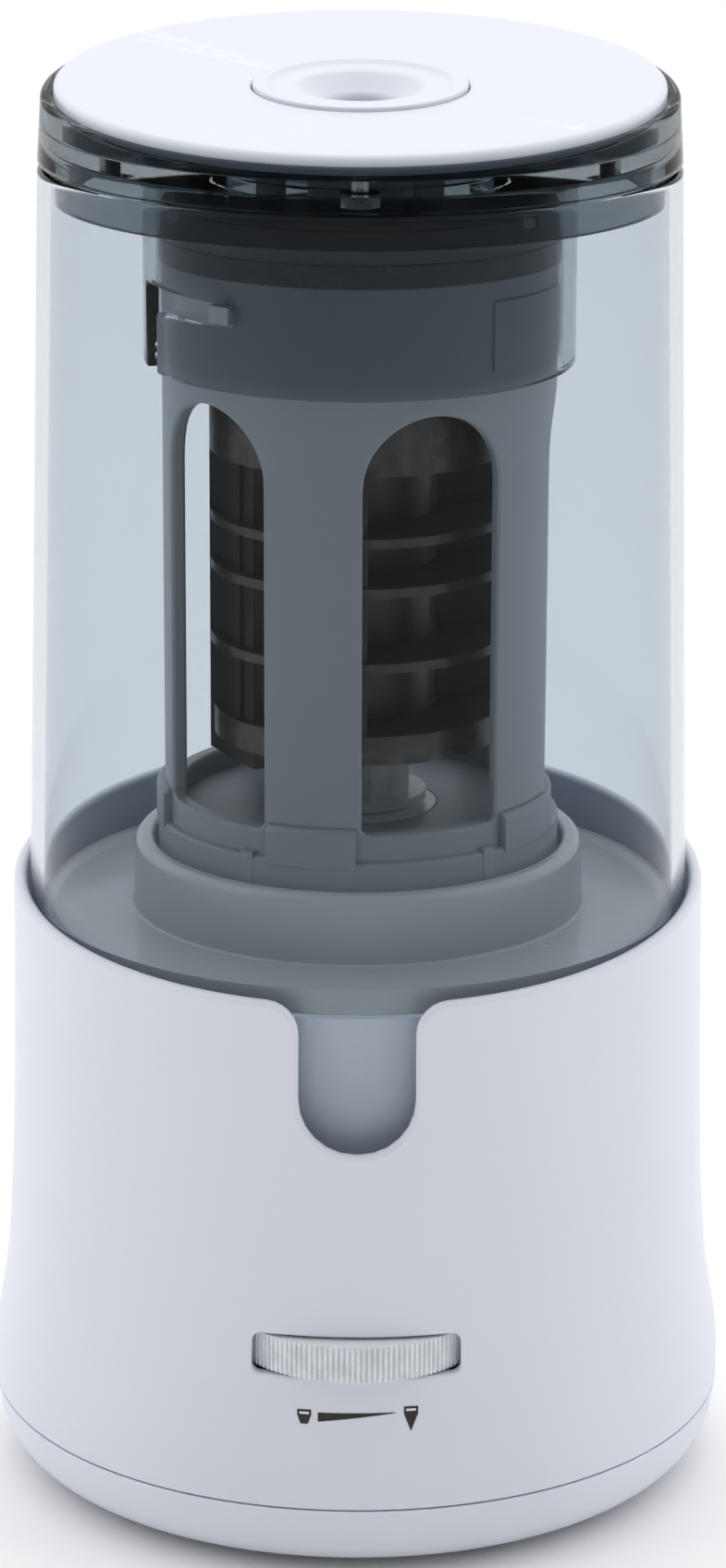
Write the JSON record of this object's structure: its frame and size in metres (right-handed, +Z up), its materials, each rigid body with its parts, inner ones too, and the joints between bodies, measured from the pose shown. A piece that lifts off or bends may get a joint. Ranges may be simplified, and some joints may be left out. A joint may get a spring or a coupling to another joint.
{
  "type": "electric pencil sharpener",
  "caption": "Upright round electric pencil sharpener with a clear shavings box, a turning helical cutter in a windowed cage, a sloped lid with a pencil hole and a point dial.",
  "frame": {"origin": "centre of the foot circle on the table", "axes": "+Z up through the pencil hole, front with the finger notch and the point dial towards -Y, +X to the viewer's right"},
  "size_m": [0.088, 0.0882, 0.1698],
  "materials": {
    "white_shell": "satin white",
    "white_part": "moulded white",
    "smoked_lid": "clear smoked",
    "clear_shell": "clear smoked",
    "grey_cage": "satin grey",
    "dark_part": "dark brown",
    "black_part": "black",
    "rubber": "matte",
    "steel": "turned",
    "cutter_steel": "hardened",
    "bronze": "sintered",
    "gear_plastic": "moulded",
    "clear_hub": "clear",
    "dial_plastic": "milky white",
    "cell_jacket": "plain label",
    "board": "circuit board",
    "lead": "insulated wire"
  },
  "bodies": {
    "base": {"base_housing": "white_shell", "inner_drum": "white_part", "base_bottom": "white_shell", "rubber_feet": "rubber", "housing_screws": "steel", "battery_cells": "cell_jacket", "battery_cradle": "white_part", "battery_contacts": "steel", "motor_can": "steel", "motor_end_cap": "black_part", "gearbox_frame": "white_part", "gearbox_cover": "white_part", "gearbox_screws": "steel", "idler_axle": "steel", "output_bush": "bronze", "dial_axle": "steel", "guide_pins": "steel", "microswitch": "black_part", "plunger_spring": "steel", "circuit_board": "board", "dc_inlet": "black_part", "power_leads": "lead"},
    "door": {"battery_door": "white_shell", "door_springs": "steel"},
    "container": {"shavings_container": "clear_shell"},
    "lid": {"lid_plate": "white_shell", "lid_ring": "smoked_lid", "lid_screws": "steel", "pencil_guide": "white_part"},
    "cage": {"cutter_cage": "grey_cage", "ring_gear": "black_part", "cage_cap": "grey_cage", "cage_screws": "steel", "cage_bush": "bronze"},
    "carrier": {"cutter_carrier": "dark_part", "carrier_hub": "clear_hub", "carrier_clip": "steel"},
    "roller": {"cutter_blade": "cutter_steel", "blade_pinion": "bronze"},
    "output": {"output_shaft": "steel", "output_gear": "gear_plastic"},
    "idler": {"idler_gear": "gear_plastic"},
    "rotor": {"motor_shaft": "steel", "motor_pinion": "bronze"},
    "dial": {"thumb_dial": "dial_plastic"},
    "adjuster": {"adjust_arm": "white_part", "stop_rod": "steel"},
    "plunger": {"interlock_plunger": "white_part"},
    "lever": {"switch_lever": "steel"}
  },
  "joints": [
    {"name": "container_lift", "type": "slide", "parent": "base", "child": "container", "axis": [0, 0, 1], "range_m": [0, 0.05]},
    {"name": "lid_lift", "type": "slide", "parent": "container", "child": "lid", "axis": [0, 0, 1], "range_m": [0, 0.095]},
    {"name": "cage_twist", "type": "hinge", "parent": "lid", "child": "cage", "pos_m": [0, 0, 0.15], "axis": [0, 0, 1], "range_deg": [-32, 0]},
    {"name": "carrier_spin", "type": "hinge", "parent": "cage", "child": "carrier", "pos_m": [0, 0, 0.12], "axis": [0, 0, 1], "continuous": true},
    {"name": "roller_spin", "type": "hinge", "parent": "carrier", "child": "roller", "pos_m": [0.00766, 0.01327, 0.14889], "axis": [0.0825, 0.1429, 0.9863], "continuous": true},
    {"name": "output_spin", "type": "hinge", "parent": "base", "child": "output", "pos_m": [0, 0, 0.06], "axis": [0, 0, 1], "continuous": true},
    {"name": "idler_spin", "type": "hinge", "parent": "base", "child": "idler", "pos_m": [0.006, 0.01575, 0.052], "axis": [0, 0, 1], "continuous": true},
    {"name": "motor_spin", "type": "hinge", "parent": "base", "child": "rotor", "pos_m": [0, 0.02561, 0.03], "axis": [0, 0, 1], "continuous": true},
    {"name": "dial_turn", "type": "hinge", "parent": "base", "child": "dial", "pos_m": [0, -0.02935, 0.0276], "axis": [0, 0, 1], "range_deg": [-50, 50]},
    {"name": "rod_adjust", "type": "slide", "parent": "base", "child": "adjuster", "axis": [0, 0, 1], "range_m": [-0.0015, 0.0015]},
    {"name": "plunger_slide", "type": "slide", "parent": "base", "child": "plunger", "axis": [0, 0, 1], "range_m": [0, 0.0015], "deforming": ["plunger_spring"]},
    {"name": "lever_tilt", "type": "hinge", "parent": "base", "child": "lever", "pos_m": [-0.0057, -0.024, 0.05445], "axis": [0, 1, 0], "range_deg": [0, 8.2]},
    {"name": "door_slide", "type": "slide", "parent": "base", "child": "door", "axis": [0, 1, 0], "range_m": [0, 0.004]}
  ],
  "couplings": [
    {"joint": "output_spin", "follows": "carrier_spin", "ratio": 1},
    {"joint": "roller_spin", "follows": "carrier_spin", "ratio": -4},
    {"joint": "idler_spin", "follows": "carrier_spin", "ratio": -3},
    {"joint": "motor_spin", "follows": "carrier_spin", "ratio": 10.8},
    {"joint": "dial_turn", "follows": "rod_adjust", "rad_per_m": 581.7},
    {"joint": "plunger_slide", "follows": "container_lift", "ratio": 0.0295},
    {"joint": "lever_tilt", "follows": "container_lift", "rad_per_m": 2.7925}
  ]
}
